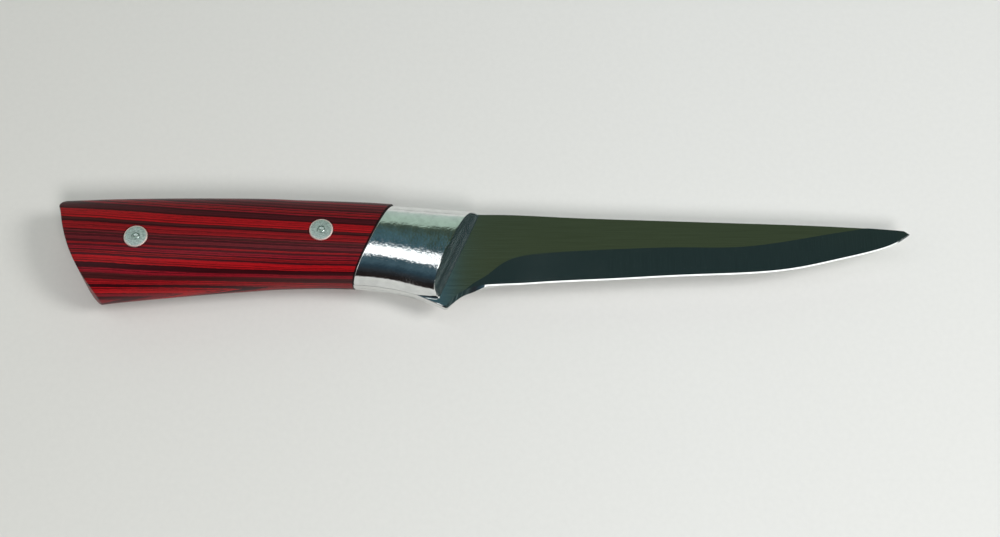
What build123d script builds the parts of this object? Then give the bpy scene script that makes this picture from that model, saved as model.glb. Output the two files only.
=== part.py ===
from build123d import *
from math import cos, radians, sin, tan
import os

# Boning and fillet knife, lying on its right flank. X runs from the butt to the tip,
# Y from the cutting edge up to the spine, Z is up. The origin is under the middle of
# the knife's box, on the surface that it lies on. Millimetres.

# Blade, one steel plate with its guard point
blade_length = 125.7
blade_height = 23.0
blade_thickness = 2.2
flat_ground_depth = 0.05
edge_thickness = 0.06
honed_width = 0.9
honed_thickness = 0.56
guard_point_drop = 17.65
guard_point_reach = 8.9
guard_point_run = 6.0
guard_point_radius = 0.9

# Hidden tang, the rear end of the same plate
tang_front_height = 11.0
tang_rear_height = 9.0
tang_beyond_rivet = 12.0
tang_corner_radius = 1.2
tang_room = 0.25
glue_gap = 0.05

# Bolster, two halves welded to the plate
bolster_length = 31.3
bolster_height = 26.0
bolster_thickness = 16.3
bolster_slant = 22.8
bolster_setback = 5.0
bolster_front_lean = 2.75
bolster_front_rise = 0.6
bolster_front_hollow = 0.5
bolster_foot = 0.1
bolster_edge_radius = 0.3

# Wooden scales
scale_length = 91.2
scale_height = 30.3
grip_thickness = 16.6
butt_rake = 17.0
butt_corner_radius = 1.5
butt_corner_lead = 0.55
butt_edge_radius = 0.5

# Rivets, a headed sleeve with a headed pin through it
rivet_head_diameter = 7.0
rivet_head_thickness = 1.8
rivet_head_chamfer = 0.25
sleeve_diameter = 4.0
pin_diameter = 2.3
pin_chamfer = 0.15
pin_dimple_radius = 0.7
pin_dimple_depth = 0.4
rivet_fit = 0.02
sleeve_end_gap = 0.1
rear_rivet_from_butt = 24.75
front_rivet_from_joint = 13.6
rear_rivet_rise = 1.75
front_rivet_rise = 3.9

# Roundness of the grip's section, where 2 is an ellipse and more is squarer
section_exponent = 2.5
section_steps = 12

# How far cutting tools run past what they cut
overrun = 3.0

# Scale sections: place from the butt as a share of scale_length, then the spine line
# and the belly line as shares of scale_height above the knife's axis
scale_section_shares = (
    (-0.030, 0.544, -0.592),
    (0.090, 0.558, -0.536),
    (0.183, 0.568, -0.492),
    (0.382, 0.575, -0.426),
    (0.600, 0.572, -0.366),
    (0.786, 0.551, -0.332),
    (0.961, 0.530, -0.338),
    (1.100, 0.501, -0.388),
)

# Bolster sections: place from the joint as a share of bolster_length, then the spine
# line and the belly line as shares of bolster_height
bolster_section_shares = (
    (-0.210, 0.612, -0.394),
    (-0.050, 0.596, -0.404),
    (0.110, 0.579, -0.427),
    (0.270, 0.562, -0.462),
    (0.430, 0.545, -0.513),
    (0.590, 0.528, -0.554),
    (0.750, 0.511, -0.566),
    (0.950, 0.493, -0.569),
    (1.200, 0.480, -0.572),
)

# Butt outline from its corner at the spine: run as a share of butt_rake, level as a
# share of scale_height
butt_outline_shares = (
    (0.000, 0.553),
    (0.115, 0.429),
    (0.187, 0.264),
    (0.269, 0.099),
    (0.385, -0.066),
    (0.536, -0.231),
    (0.738, -0.396),
    (1.080, -0.600),
)

# Spine of the blade: place from the root as a share of blade_length, level as a share
# of blade_height
spine_shares = (
    (0.051, 0.551),
    (0.190, 0.515),
    (0.375, 0.473),
    (0.607, 0.428),
    (0.838, 0.376),
    (0.987, 0.326),
)
tip_level_share = 0.280

# Heel sections, from the guard point to the root: place, edge, and the line where the
# ground bevel meets the flat, as shares of guard_point_reach and guard_point_drop
heel_section_shares = (
    (-0.904, -0.945, -0.925),
    (-0.517, -0.774, -0.730),
    (-0.258, -0.7115, -0.600),
)
# Blade sections, from the root to past the tip, as shares of blade_length and
# blade_height
edge_section_shares = (
    (0.0207, -0.4560, -0.3100),
    (0.0500, -0.4400, -0.1700),
    (0.0960, -0.4240, -0.0500),
    (0.1416, -0.4060, -0.0100),
    (0.3246, -0.3520, 0.0560),
    (0.4630, -0.3070, 0.0800),
    (0.5990, -0.2780, 0.0850),
    (0.7380, -0.1960, 0.1920),
    (0.8320, -0.0760, 0.2900),
    (0.9270, 0.0630, 0.3850),
    (0.9750, 0.1800, 0.4450),
)
past_tip_shares = (1.0150, 0.3500, 0.5300)
# Thickness left along the blunt heel at each of its sections, as a share of the plate's
heel_thickness_shares = (0.96, 0.80, 0.60)
# The heel's lower corners are eased by this much, over this share of its bevel
heel_round_share = 0.85
heel_strip_share = 0.25
# The grinding runs past the line where it meets the flat
bevel_overrun_share = 0.2

# Places and levels worked out from the sizes above
overall_length = scale_length + bolster_length + blade_length
butt_x = -overall_length / 2
joint_x = butt_x + scale_length
root_x = joint_x + bolster_length
tip = (root_x + blade_length, blade_height * tip_level_share)
half_plate = blade_thickness / 2
half_blade = half_plate - flat_ground_depth
mid_z = grip_thickness / 2
slant = tan(radians(bolster_slant))
foot_x = root_x - bolster_setback
rivet_places = {
    "rear": (butt_x + rear_rivet_from_butt, rear_rivet_rise),
    "front": (joint_x - front_rivet_from_joint, front_rivet_rise),
}

mid_plane = Plane.XY.offset(mid_z)
plate_side = mid_plane.offset(half_plate)
across_front = (cos(radians(bolster_slant)), -sin(radians(bolster_slant)), 0)
down_front = (-sin(radians(bolster_slant)), -cos(radians(bolster_slant)), 0)
joint_plane = Plane(origin=(joint_x, 0, mid_z), z_dir=across_front)
front_plane = Plane(origin=(foot_x, 0, mid_z), x_dir=across_front, z_dir=down_front)


def section_plane(x):
    """Plane across the knife at x: its own x is the knife's Y, its own y is Z."""
    return Plane(origin=(x, 0, mid_z), x_dir=(0, 1, 0), z_dir=(1, 0, 0))


def scaled(rows, start_x, length, height):
    """Shares of a length and a height turned into places and levels."""
    return [
        (start_x + length * place, *(height * level for level in levels))
        for place, *levels in rows
    ]


def half_section(spine, belly, half_thickness):
    """Points of a superellipse, belly to spine, on the left side of the mid plane."""
    middle, half_height = (spine + belly) / 2, (spine - belly) / 2
    power = 2 / section_exponent
    points = []
    for step in range(section_steps + 1):
        turn = radians(180 * step / section_steps - 90)
        up = abs(sin(turn)) ** power * (1 if turn > 0 else -1)
        out = abs(cos(turn)) ** power if 0 < step < section_steps else 0
        points.append((middle + half_height * up, half_thickness * out))
    return points


def chord_inset(spine, belly):
    """How much lower the bolster is beside the plate than over its middle."""
    width = (blade_thickness / bolster_thickness) ** section_exponent
    return (spine - belly) / 2 * (1 - (1 - width) ** (1 / section_exponent))


scale_sections = scaled(scale_section_shares, butt_x, scale_length, scale_height)
bolster_sections = scaled(
    bolster_section_shares, joint_x, bolster_length, bolster_height
)
butt_outline = scaled(
    butt_outline_shares, butt_x - butt_corner_lead, butt_rake, scale_height
)
heel_sections = scaled(
    heel_section_shares, root_x, guard_point_reach, guard_point_drop
)
edge_sections = scaled(edge_section_shares, root_x, blade_length, blade_height)
past_tip = scaled((past_tip_shares,), root_x, blade_length, blade_height)
blade_spine = scaled(spine_shares, root_x, blade_length, blade_height)

# The tang runs straight along the line through both rivets
rear_x, rear_y = rivet_places["rear"]
front_x, front_y = rivet_places["front"]
tang_slope = (front_y - rear_y) / (front_x - rear_x)
# It starts well inside the part of the plate that the bolster covers
tang_front_x = joint_x + bolster_length / 2


def tang_outline(room):
    """Corners of the tang, grown by a little room where the wood is cut for it."""
    front_level = front_y + tang_slope * (tang_front_x - front_x)
    front_half = tang_front_height / 2 + room
    rear_half = tang_rear_height / 2 + room
    end_x = rear_x - tang_beyond_rivet - room
    end_level = rear_y - tang_slope * tang_beyond_rivet
    return (
        (tang_front_x, front_level + front_half),
        (end_x, end_level + rear_half),
        (end_x, end_level - rear_half),
        (tang_front_x, front_level - front_half),
    )


def bevel_section(edge, grind, flat_half, edge_half, strip_half, strip):
    """Corners of what is ground off one side of the plate, up from its mid plane."""
    fall = (flat_half - strip_half) / (grind - edge - strip)
    past_grind = (grind - edge) * bevel_overrun_share
    top = flat_half + fall * past_grind
    past_edge = edge_half - (strip_half - edge_half) / strip * overrun
    return (
        (grind + past_grind, top),
        (edge + strip, strip_half),
        (edge - overrun, past_edge),
        (edge - overrun, top),
    )


# Each section of the bevel, along the blunt heel and then along the honed edge
heel_bevels = [
    (
        x,
        bevel_section(
            edge,
            grind,
            half_plate,
            half_plate * share * heel_round_share,
            half_plate * share,
            (grind - edge) * heel_strip_share,
        ),
    )
    for (x, edge, grind), share in zip(heel_sections, heel_thickness_shares)
]
edge_bevels = [
    (
        x,
        bevel_section(
            edge,
            grind,
            half_blade,
            edge_thickness / 2,
            honed_thickness / 2,
            honed_width,
        ),
    )
    for x, edge, grind in edge_sections + past_tip
]

# What is ground off the left side of the blade, at its heel and along its edge
bevel_cuts = []
for sections in (heel_bevels + edge_bevels[:1], edge_bevels):
    with BuildPart() as bevel_cut:
        for x, corners in sections:
            with BuildSketch(section_plane(x)):
                with BuildLine():
                    Polyline(*corners, close=True)
                make_face()
        loft()
    bevel_cuts.append(bevel_cut.part)

# Side outline of the plate, with the tang behind the joint
bolster_spine = [
    (x, spine - chord_inset(spine, belly))
    for x, spine, belly in bolster_sections[:-1]
]
guard_point = (root_x - guard_point_reach, -guard_point_drop)
# The plate stands proud of the bolster's belly near the guard point
bolster_belly = [
    (x, belly + chord_inset(spine, belly))
    for x, spine, belly in bolster_sections
    if x < guard_point[0] - guard_point_run
]
# The blade's flats are ground a little, from the bolster's foot to past the tip
ground_flat = (
    (foot_x + slant * bolster_height, bolster_height),
    (tip[0] + overrun, bolster_height),
    (tip[0] + overrun, -bolster_height),
    (foot_x - slant * bolster_height, -bolster_height),
)
heel_points = [(x, edge) for x, edge, grind in heel_sections]
edge_points = [(x, edge) for x, edge, grind in edge_sections]

with BuildPart() as blade:
    with BuildSketch(mid_plane.offset(-half_plate)):
        with BuildLine():
            Spline(*bolster_spine, *blade_spine)
            Line(blade_spine[-1], tip)
            Spline(tip, *reversed(edge_points))
            Spline(edge_points[0], *reversed(heel_points))
            Line(heel_points[0], guard_point)
            Line(guard_point, bolster_belly[-1])
            Spline(*reversed(bolster_belly))
            Line(bolster_belly[0], bolster_spine[0])
        make_face()
        fillet(
            vertices().sort_by(Axis.Y)[0],
            guard_point_radius,
        )
    extrude(amount=blade_thickness)
    split(bisect_by=joint_plane)
    with BuildSketch(mid_plane.offset(-half_plate)):
        with BuildLine():
            Polyline(*tang_outline(0), close=True)
        make_face()
        fillet(vertices().group_by(Axis.X)[0], tang_corner_radius)
    extrude(amount=blade_thickness)
    add(bevel_cuts, mode=Mode.SUBTRACT)
    mirror(bevel_cuts, about=mid_plane, mode=Mode.SUBTRACT)
    for side, depth in ((half_plate, -flat_ground_depth), (-half_plate, flat_ground_depth)):
        with BuildSketch(mid_plane.offset(side)):
            with BuildLine():
                Polyline(*ground_flat, close=True)
            make_face()
        extrude(amount=depth, mode=Mode.SUBTRACT)
    with Locations(*((x, y, mid_z + half_plate) for x, y in rivet_places.values())):
        Hole(sleeve_diameter / 2 + rivet_fit)
blade.part.label = "blade"

# Left half of the bolster, its leaning front hollowed a little, down to the plate
with BuildPart() as bolster_left:
    for x, spine, belly in bolster_sections:
        with BuildSketch(section_plane(x)):
            with BuildLine():
                Spline(*half_section(spine, belly, bolster_thickness / 2))
                Line((spine, 0), (belly, 0))
            make_face()
    loft()
    split(bisect_by=plate_side)
    split(bisect_by=joint_plane)
    fillet(
        edges().filter_by(GeomType.BSPLINE).sort_by(Axis.X)[0],
        bolster_edge_radius,
    )
    with BuildSketch(front_plane):
        with BuildLine():
            foot = (0, half_plate + bolster_foot)
            top = (-bolster_front_lean, bolster_thickness / 2 + bolster_front_rise)
            SagittaArc(foot, top, bolster_front_hollow)
            Polyline(top, (bolster_length, top[1]), (bolster_length, 0), (0, 0), foot)
        make_face()
    extrude(amount=bolster_height, both=True, mode=Mode.SUBTRACT)
bolster_left.part.label = "bolster_left"

with BuildPart() as bolster_right:
    mirror(bolster_left.part, about=mid_plane)
bolster_right.part.label = "bolster_right"

# Left scale: the shaped wood, cut to its outline, then bedded over the tang
with BuildPart() as scale_left:
    for x, spine, belly in scale_sections:
        with BuildSketch(section_plane(x)):
            with BuildLine():
                Spline(*half_section(spine, belly, grip_thickness / 2))
                Line((spine, 0), (belly, 0))
            make_face()
    loft()
    split(bisect_by=joint_plane, keep=Keep.BOTTOM)
    with BuildSketch(mid_plane):
        with BuildLine():
            Spline(*butt_outline)
            Polyline(
                butt_outline[-1],
                (0, butt_outline[-1][1]),
                (0, scale_height),
                (butt_x + butt_rake, scale_height),
                butt_outline[0],
            )
        make_face()
        fillet(vertices().sort_by(Axis.X)[0], butt_corner_radius)
    extrude(amount=grip_thickness, mode=Mode.INTERSECT)
    butt_edges = edges().filter_by_position(Axis.X, 2 * butt_x, butt_x + butt_rake)
    fillet(
        butt_edges.filter_by_position(Axis.Z, mid_z + half_plate, grip_thickness),
        butt_edge_radius,
    )
    with BuildSketch(mid_plane):
        with BuildLine():
            Polyline(*tang_outline(tang_room), close=True)
        make_face()
        fillet(vertices().group_by(Axis.X)[0], tang_corner_radius)
    extrude(amount=half_plate + glue_gap, mode=Mode.SUBTRACT)
    with Locations(*((x, y, grip_thickness) for x, y in rivet_places.values())):
        CounterBoreHole(
            sleeve_diameter / 2 + rivet_fit,
            rivet_head_diameter / 2 + rivet_fit,
            rivet_head_thickness,
        )
scale_left.part.label = "scale_left"

with BuildPart() as scale_right:
    mirror(scale_left.part, about=mid_plane)
scale_right.part.label = "scale_right"

pieces = [blade, bolster_left, bolster_right, scale_left, scale_right]

# Rivets: the sleeve's head is on the left side, the pin's head is on the right side,
# and the pin's dished end shows in the middle of the sleeve's head
for name, (x, y) in rivet_places.items():
    with BuildPart() as sleeve:
        with BuildSketch(Plane.XY.offset(grip_thickness)):
            with Locations((x, y)):
                Circle(rivet_head_diameter / 2)
        extrude(amount=-rivet_head_thickness)
        chamfer(edges().group_by(Axis.Z)[-1], rivet_head_chamfer)
        with BuildSketch(Plane.XY.offset(rivet_head_thickness + sleeve_end_gap)):
            with Locations((x, y)):
                Circle(sleeve_diameter / 2)
        extrude(until=Until.NEXT)
        with Locations((x, y, grip_thickness)):
            Hole(pin_diameter / 2 + rivet_fit)
    sleeve.part.label = f"{name}_rivet_sleeve"

    with BuildPart() as pin:
        with BuildSketch(Plane.XY):
            with Locations((x, y)):
                Circle(rivet_head_diameter / 2)
        extrude(amount=rivet_head_thickness)
        chamfer(edges().group_by(Axis.Z)[0], rivet_head_chamfer)
        with BuildSketch(Plane.XY.offset(rivet_head_thickness)):
            with Locations((x, y)):
                Circle(pin_diameter / 2)
        extrude(amount=grip_thickness - rivet_head_thickness)
        chamfer(edges().group_by(Axis.Z)[-1], pin_chamfer)
        with Locations((x, y, grip_thickness - pin_dimple_depth / 2)):
            Cone(0, pin_dimple_radius, pin_dimple_depth, mode=Mode.SUBTRACT)
    pin.part.label = f"{name}_rivet_pin"
    pieces += [sleeve, pin]

os.makedirs("parts", exist_ok=True)
for piece in pieces:
    export_step(piece.part, f"parts/{piece.part.label}.step")
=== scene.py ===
"""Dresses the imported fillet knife: polished steel, striped red wood, rivets and a pale table."""

from contextlib import contextmanager
from math import cos, pi, radians, sin, sqrt, tan
from types import SimpleNamespace

import bmesh
import bpy
import numpy as np
from bpy.props import FloatProperty, FloatVectorProperty, IntProperty, PointerProperty
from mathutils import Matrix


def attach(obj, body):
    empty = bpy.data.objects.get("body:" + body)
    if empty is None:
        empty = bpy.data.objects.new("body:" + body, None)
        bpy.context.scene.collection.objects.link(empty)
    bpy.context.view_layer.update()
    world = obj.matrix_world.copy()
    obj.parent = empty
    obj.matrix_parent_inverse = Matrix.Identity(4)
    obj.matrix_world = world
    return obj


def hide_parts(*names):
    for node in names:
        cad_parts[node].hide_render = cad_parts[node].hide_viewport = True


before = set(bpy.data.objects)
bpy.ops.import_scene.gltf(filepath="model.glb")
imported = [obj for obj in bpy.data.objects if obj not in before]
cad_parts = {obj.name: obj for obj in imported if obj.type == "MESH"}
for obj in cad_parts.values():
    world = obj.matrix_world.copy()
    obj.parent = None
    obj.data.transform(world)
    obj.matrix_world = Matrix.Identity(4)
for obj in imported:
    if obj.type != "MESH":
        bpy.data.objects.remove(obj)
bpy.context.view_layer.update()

bl_info = {
    "name": "Fillet Knife",
    "version": (1, 0, 0),
    "blender": (4, 5, 0),
    "location": "3D View > Sidebar > Fillet Knife",
    "description": "Makes the visible pieces of a fillet knife with a striped wooden grip",
    "category": "Add Mesh",
}

MM = 0.001
BODY = "root"
WELD = 0.002 * MM  # points nearer than this are one
SHARP = radians(35)  # edges that turn further than this stay hard
PLAY = 0.02  # millimetres left around a rivet's sleeve and around its pin

# The knife lies on its right flank: X runs to the tip, Y to the spine, Z up.
# Lines below are given as in the part: place along a length, then levels as shares.
GRIP_LINES = (  # place, spine and belly of the wood
    (-0.030, 0.544, -0.592), (0.090, 0.558, -0.536), (0.183, 0.568, -0.492),
    (0.382, 0.575, -0.426), (0.600, 0.572, -0.366), (0.786, 0.551, -0.332),
    (0.961, 0.530, -0.338), (1.100, 0.501, -0.388),
)
BOLSTER_LINES = (  # place, spine and belly of the bolster
    (-0.210, 0.612, -0.394), (-0.050, 0.596, -0.404), (0.110, 0.579, -0.427),
    (0.270, 0.562, -0.462), (0.430, 0.545, -0.513), (0.590, 0.528, -0.554),
    (0.750, 0.511, -0.566), (0.950, 0.493, -0.569), (1.200, 0.480, -0.572),
)
SPINE_LINE = (  # place and level of the blade's spine
    (0.051, 0.551), (0.190, 0.515), (0.375, 0.473), (0.607, 0.428), (0.838, 0.376),
    (0.987, 0.326),
)
TIP_LEVEL = 0.280
HEEL_LINES = (  # blunt heel behind the root: place, edge and grind line
    (-0.904, -0.945, -0.925), (-0.517, -0.774, -0.730), (-0.258, -0.7115, -0.600),
)
EDGE_LINES = (  # ground blade ahead of it: place, edge and grind line
    (0.0207, -0.4560, -0.3100), (0.0500, -0.4400, -0.1700), (0.0960, -0.4240, -0.0500),
    (0.1416, -0.4060, -0.0100), (0.3246, -0.3520, 0.0560), (0.4630, -0.3070, 0.0800),
    (0.5990, -0.2780, 0.0850), (0.7380, -0.1960, 0.1920), (0.8320, -0.0760, 0.2900),
    (0.9270, 0.0630, 0.3850), (0.9750, 0.1800, 0.4450),
)
BUTT_LINE = (  # butt end of the grip: share of its height, share of its rake
    (-0.561, 1.000), (-0.500, 0.895), (-0.453, 0.821), (-0.365, 0.695), (-0.272, 0.581),
    (-0.174, 0.479), (-0.072, 0.390), (0.032, 0.312), (0.139, 0.246), (0.248, 0.1885),
    (0.330, 0.150), (0.380, 0.120), (0.413, 0.096), (0.437, 0.084), (0.460, 0.086),
    (0.480, 0.097), (0.500, 0.116), (0.520, 0.145), (0.5465, 0.200),
)


def length(label, about, value):
    """A length that a user may change, given here in millimetres."""
    return FloatProperty(
        name=label, description=about, default=value * MM, min=0, unit="LENGTH", precision=5
    )


def angle(label, about, value):
    """An angle that a user may change, given here in degrees."""
    return FloatProperty(
        name=label, description=about, default=radians(value), subtype="ANGLE", unit="ROTATION"
    )


def colour(label, about, *tone):
    """A colour that a user may change, given here as display values from 0 to 255."""
    return FloatVectorProperty(
        name=label, description=about, default=display(*tone), subtype="COLOR", size=3,
        min=0, max=1,
    )


def display(*tone):
    """Display values from 0 to 255 as the linear colour that Blender works in."""
    shares = (value / 255 for value in tone)
    return tuple(s / 12.92 if s < 0.04045 else ((s + 0.055) / 1.055) ** 2.4 for s in shares)


class BladeSettings(bpy.types.PropertyGroup):
    length: length("Length", "From the bolster to the tip", 125.7)
    height: length("Height", "Scale of the spine and edge lines", 23.0)
    thickness: length("Thickness", "Thickness of the steel plate", 2.2)
    ground: length("Ground off", "Taken off each flat ahead of the bolster", 0.05)
    edge: length("Edge", "Thickness at the cutting edge", 0.06)
    honed_width: length("Honed width", "Width of the honed strip", 0.42)
    honed_thickness: length("Honed thickness", "Least thickness above the honed strip", 0.4)
    bevel: angle("Bevel", "Lean of the bevel on each side", 5.8)
    honing: angle("Honing", "Lean of the honed strip on each side", 11.5)
    taper_start: length("Taper start", "From the root to where the flats start to thin", 96.0)
    tip_thickness: length("Tip thickness", "Thickness of the flats short of the tip", 1.66)
    point_thickness: length("Point thickness", "Thickness of the flats at the tip", 1.1)
    heel_chamfer: length("Heel chamfer", "Width of the chamfer on the blunt heel", 1.3)
    heel_lean: angle("Heel lean", "Lean of that chamfer on each side", 35)
    guard_drop: length("Guard drop", "How far the guard point reaches below the axis", 17.65)
    guard_reach: length("Guard reach", "How far the guard point lies behind the root", 8.9)
    guard_run: length("Guard run", "Straight part behind the guard point", 6.0)
    guard_radius: length("Guard radius", "Rounding of the guard point", 0.9)
    spine_ease: length("Spine ease", "Easing of the spine's corners", 0.12)
    tang_front: length("Tang front", "Height of the tang at the bolster", 11.0)
    tang_rear: length("Tang rear", "Height of the tang at its end", 9.0)
    tang_beyond: length("Tang beyond", "How far the tang runs past the rear rivet", 12.0)
    tang_radius: length("Tang radius", "Rounding of the corners at the tang's end", 1.2)
    steel: colour("Steel", "Colour of the blade's steel", 226, 228, 226)


class BolsterSettings(bpy.types.PropertyGroup):
    length: length("Length", "From the wood to the root of the blade", 31.3)
    height: length("Height", "Scale of the bolster's spine and belly lines", 26.0)
    thickness: length("Thickness", "Thickness over both halves", 16.3)
    slant: angle("Slant", "Slant of the joint and of the foot", 22.8)
    setback: length("Setback", "From the foot to the root of the blade", 5.0)
    front_lean: length("Front lean", "How far the front leans back", 2.75)
    front_rise: length("Front rise", "Height above the crown where that lean is reached", 0.6)
    front_hollow: length("Front hollow", "Depth of the hollow in the front", 0.5)
    foot: length("Foot", "Thickness of the bolster's foot on the plate", 0.1)
    lip: length("Lip", "Rounding of the front's lip", 0.4)
    joint_ease: length("Joint ease", "Rounding beside the wood", 0.3)
    steel: colour("Steel", "Colour of the bolster's steel", 232, 234, 233)


class GripSettings(bpy.types.PropertyGroup):
    length: length("Length", "From the butt to the joint on the axis", 91.2)
    height: length("Height", "Scale of the grip's spine and belly lines", 30.3)
    thickness: length("Thickness", "Thickness over both scales", 16.6)
    squareness: FloatProperty(
        name="Squareness", description="Exponent of the section: 2 is an ellipse, more is squarer",
        default=2.5, min=1.5, max=6,
    )
    butt_rake: length("Butt rake", "Run of the slanted butt end", 17.0)
    butt_lead: length("Butt lead", "How far the butt's line starts behind its end", 0.55)
    butt_ease: length("Butt ease", "Rounding of the butt's rim", 0.5)
    joint_ease: length("Joint ease", "Easing of the wood's rim beside the bolster", 0.2)
    rows: IntProperty(
        name="Rows", description="Rows of the mesh along the grip", default=96, min=20, max=400
    )
    columns: IntProperty(
        name="Columns", description="Columns of the mesh around a half", default=97, min=25, max=401
    )
    scarlet: colour("Scarlet", "Brightest veneer", 152, 15, 21)
    red: colour("Red", "Common red veneer", 132, 18, 23)
    crimson: colour("Crimson", "Bluish red veneer", 122, 17, 29)
    # Dull red: a veneer tone that also holds a painted sheen, the lamp's soft reflection on the
    # wood
    dull_veneer_and_sheen: colour("Dull red", "Faded veneer", 98, 26, 32)
    dark: colour("Dark", "Dark maroon veneer", 64, 14, 21)
    brown: colour("Brown", "Dark brown veneer", 62, 22, 22)
    black: colour("Black", "Near black veneer", 46, 6, 11)
    # Near-black line of painted shade on the wood beside the bolster
    joint_shade: colour("Glue", "Line of glue beside the bolster", 14, 6, 8)


class RivetSettings(bpy.types.PropertyGroup):
    rear_place: length("Rear place", "From the butt to the rear rivet", 24.75)
    front_place: length("Front place", "From the joint back to the front rivet", 13.6)
    rear_rise: length("Rear rise", "Height of the rear rivet above the axis", 1.75)
    front_rise: length("Front rise", "Height of the front rivet above the axis", 3.9)
    head_diameter: length("Head diameter", "Diameter of a rivet's head", 7.0)
    head_thickness: length("Head thickness", "Thickness of a rivet's head", 1.8)
    head_ease: length("Head ease", "Rounding of a head's rim", 0.25)
    sleeve_diameter: length("Sleeve diameter", "Outer diameter of the sleeve", 4.0)
    pin_diameter: length("Pin diameter", "Diameter of the pin", 2.3)
    dimple: length("Dimple", "Depth of the dimple in the pin's end", 0.2)
    seat_gap: length("Seat gap", "Gap between a head and the wood", 0.1)
    metal: colour("Metal", "Colour of the rivets", 218, 233, 226)
    # Paler tone around a head's rim: a painted highlight
    rim: colour("Rim", "Colour of a head's rubbed rim", 255, 236, 228)


class StageSettings(bpy.types.PropertyGroup):
    table: colour("Table", "Colour of the table", 221, 220, 217)
    # The table's colour behind the butt, made darker as painted shade
    table_far_painted_shade: colour("Table, far end", "Colour of the table behind the butt", 214, 212, 207)
    distance: length("Camera distance", "From the camera to the knife's middle", 450.0)
    tilt: angle("Camera tilt", "Camera's lean from straight down, towards the edge", 27)
    lens: FloatProperty(name="Lens", description="Focal length", default=56.2, unit="CAMERA", min=1)


class KnifeSettings(bpy.types.PropertyGroup):
    blade: PointerProperty(type=BladeSettings)
    bolster: PointerProperty(type=BolsterSettings)
    grip: PointerProperty(type=GripSettings)
    rivets: PointerProperty(type=RivetSettings)
    stage: PointerProperty(type=StageSettings)


def in_mm(settings):
    """The settings with their lengths in millimetres and other values as they are."""
    values = {}
    for name, rule in settings.bl_rna.properties.items():
        if rule.type in {"FLOAT", "INT"}:
            value = getattr(settings, name)
            values[name] = value / MM if rule.unit == "LENGTH" else value
    return SimpleNamespace(**values)


def knife():
    """Everything that the pieces are made from, in millimetres."""
    settings = bpy.context.scene.fillet_knife
    parts = ("blade", "bolster", "grip", "rivets")
    k = SimpleNamespace(**{part: in_mm(getattr(settings, part)) for part in parts})
    k.butt = -(k.grip.length + k.bolster.length + k.blade.length) / 2
    k.joint = k.butt + k.grip.length
    k.root = k.joint + k.bolster.length
    k.foot = k.root - k.bolster.setback
    k.middle = k.grip.thickness / 2
    k.slant = tan(k.bolster.slant)
    k.power = 2 / k.grip.squareness
    k.rear = (k.butt + k.rivets.rear_place, k.rivets.rear_rise)
    k.front = (k.joint - k.rivets.front_place, k.rivets.front_rise)
    return k


# Meshes


def scaled(rows, start, run, height):
    """Rows of shares as places and levels in millimetres."""
    return [(start + run * share, *(height * level for level in levels))
            for share, *levels in rows]


def smooth_line(rows, column=1):
    """Natural cubic spline through one column of levels, as a function of the place."""
    x, y = np.array([(row[0], row[column]) for row in rows], float).T
    gaps = np.diff(x)
    system, right = np.eye(len(x)), np.zeros(len(x))
    for i in range(1, len(x) - 1):
        before, after = gaps[i - 1], gaps[i]
        system[i, i - 1 : i + 2] = before, 2 * (before + after), after
        right[i] = 3 * ((y[i + 1] - y[i]) / after - (y[i] - y[i - 1]) / before)
    bend = np.linalg.solve(system, right)

    def level(at):
        i = np.clip(np.searchsorted(x, at) - 1, 0, len(x) - 2)
        step = at - x[i]
        slope = (y[i + 1] - y[i]) / gaps[i] - gaps[i] * (2 * bend[i] + bend[i + 1]) / 3
        rise = bend[i] + step * (bend[i + 1] - bend[i]) / (3 * gaps[i])
        return y[i] + step * (slope + step * rise)

    return level


@contextmanager
def edited(piece):
    """The piece's mesh opened for editing, and written back afterwards."""
    form = bmesh.new()
    form.from_mesh(piece.data)
    yield form
    form.to_mesh(piece.data)
    form.free()


def clean(piece):
    """Welds what has met, drops faces without area and turns the faces outwards."""
    with edited(piece) as form:
        bmesh.ops.remove_doubles(form, verts=form.verts, dist=WELD)
        bmesh.ops.dissolve_degenerate(form, edges=form.edges, dist=WELD)
        bmesh.ops.recalc_face_normals(form, faces=form.faces)


def add_object(name, mesh):
    """Puts a mesh in the scene under a name, in place of an older piece of that name."""
    old = bpy.data.objects.get(name)
    if old is not None:
        bpy.data.objects.remove(old)
    piece = bpy.data.objects.new(name, mesh)
    bpy.context.scene.collection.objects.link(piece)
    return piece


def add_piece(name, points, faces, zones=None):
    """A closed mesh from points in millimetres, with a zone number on each face."""
    mesh = bpy.data.meshes.new(name)
    mesh.from_pydata(np.array(points, float) * MM, [], faces)
    marks = mesh.attributes.new("zone", "INT", "FACE")
    marks.data.foreach_set("value", zones or [0] * len(faces))
    piece = add_object(name, mesh)
    clean(piece)
    return piece


def settle(piece):
    """Applies the piece's modifiers, so that it is a plain mesh."""
    seen = piece.evaluated_get(bpy.context.evaluated_depsgraph_get())
    mesh = bpy.data.meshes.new_from_object(seen)
    piece.modifiers.clear()
    piece.data = mesh


def combine(piece, tool, operation):
    """Adds the tool to the piece or cuts it away, then removes the tool."""
    modifier = piece.modifiers.new("Combine", "BOOLEAN")
    modifier.operation, modifier.solver, modifier.object = operation, "EXACT", tool
    settle(piece)
    bpy.data.objects.remove(tool)


def shade(piece):
    """Smooth faces, sharp where the surface turns a corner or enters another zone."""
    with edited(piece) as form:
        zone = form.faces.layers.int.get("zone")
        for face in form.faces:
            face.smooth = True
        for edge in form.edges:
            sides = edge.link_faces
            apart = zone is not None and len({face[zone] for face in sides}) > 1
            edge.smooth = not (apart or len(sides) != 2 or edge.calc_face_angle(pi) > SHARP)


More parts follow.
